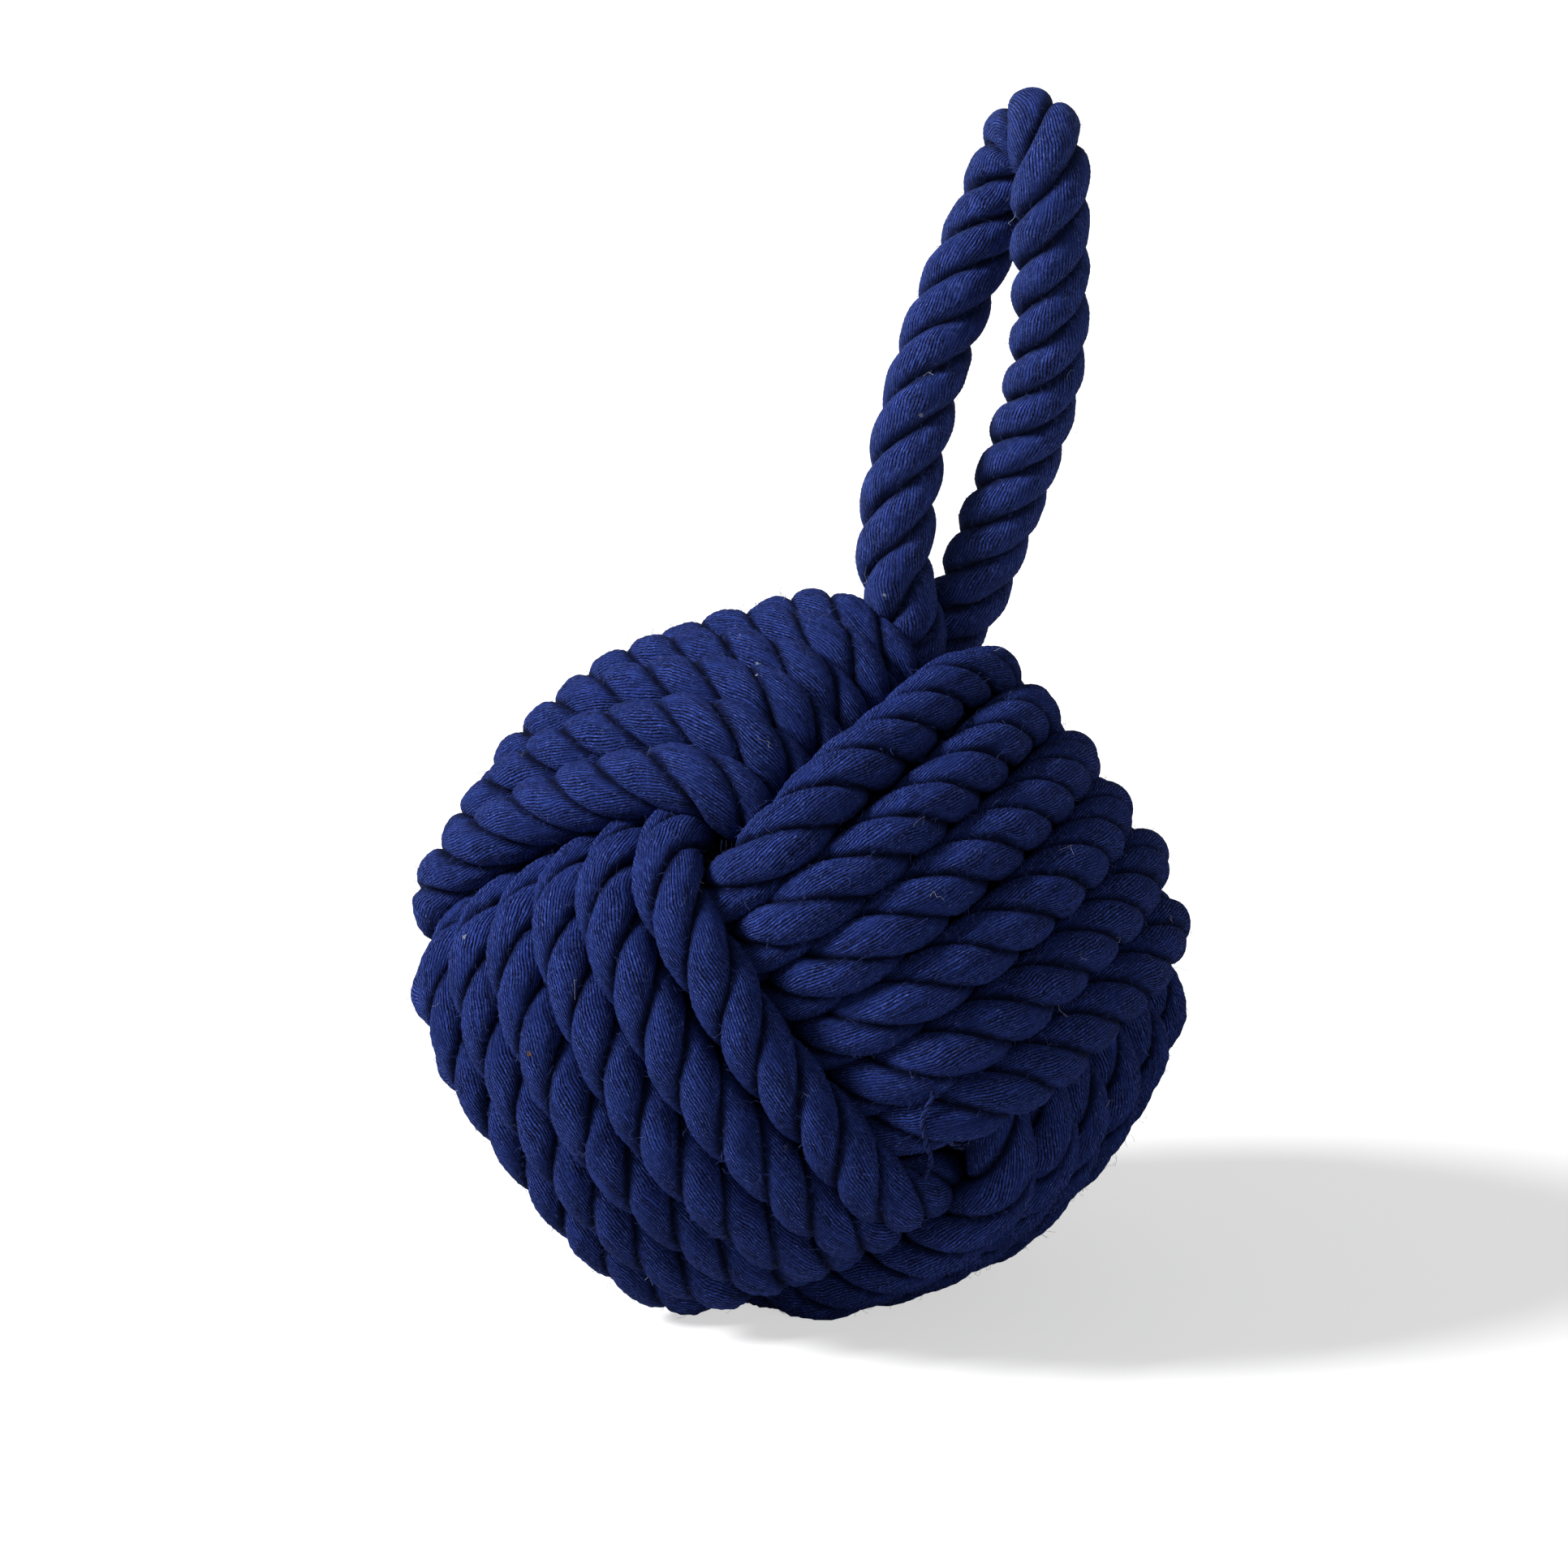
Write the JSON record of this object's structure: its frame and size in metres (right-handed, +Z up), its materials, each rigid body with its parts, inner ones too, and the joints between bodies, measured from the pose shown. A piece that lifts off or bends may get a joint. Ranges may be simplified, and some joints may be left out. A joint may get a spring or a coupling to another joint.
{
  "type": "rope knot doorstop",
  "caption": "Round doorstop tied as a large woven knot of thick rope about a sand bag, with a loop of the same rope standing up as its carrying handle.",
  "frame": {"origin": "centre of the part's box in X and Y, at its base, on the floor that the knot lies on", "axes": "as the picture sees it: X to the right, Y to the back, Z up"},
  "size_m": [0.1448, 0.1419, 0.232],
  "materials": {
    "knot_rope": "matte three-strand cotton rope, dyed navy blue",
    "handle_rope": "matte three-strand cotton rope, dyed navy blue",
    "bag_cloth": "plain undyed cotton cloth",
    "sand": "dry sand",
    "twine": "plain twine"
  },
  "bodies": {
    "knot": {"first_winding": "knot_rope", "second_winding": "knot_rope", "third_winding": "knot_rope", "core_bag": "bag_cloth", "sand_fill": "sand", "bag_tie": "twine"},
    "handle": {"handle_loop": "handle_rope"}
  },
  "joints": [
    {"name": "handle_flex", "type": "hinge", "parent": "knot", "child": "handle", "pos_m": [0.02397, 0.01298, 0.12608], "axis": [0.5397, 0.7703, -0.3397], "range_deg": [-28, 45]}
  ]
}
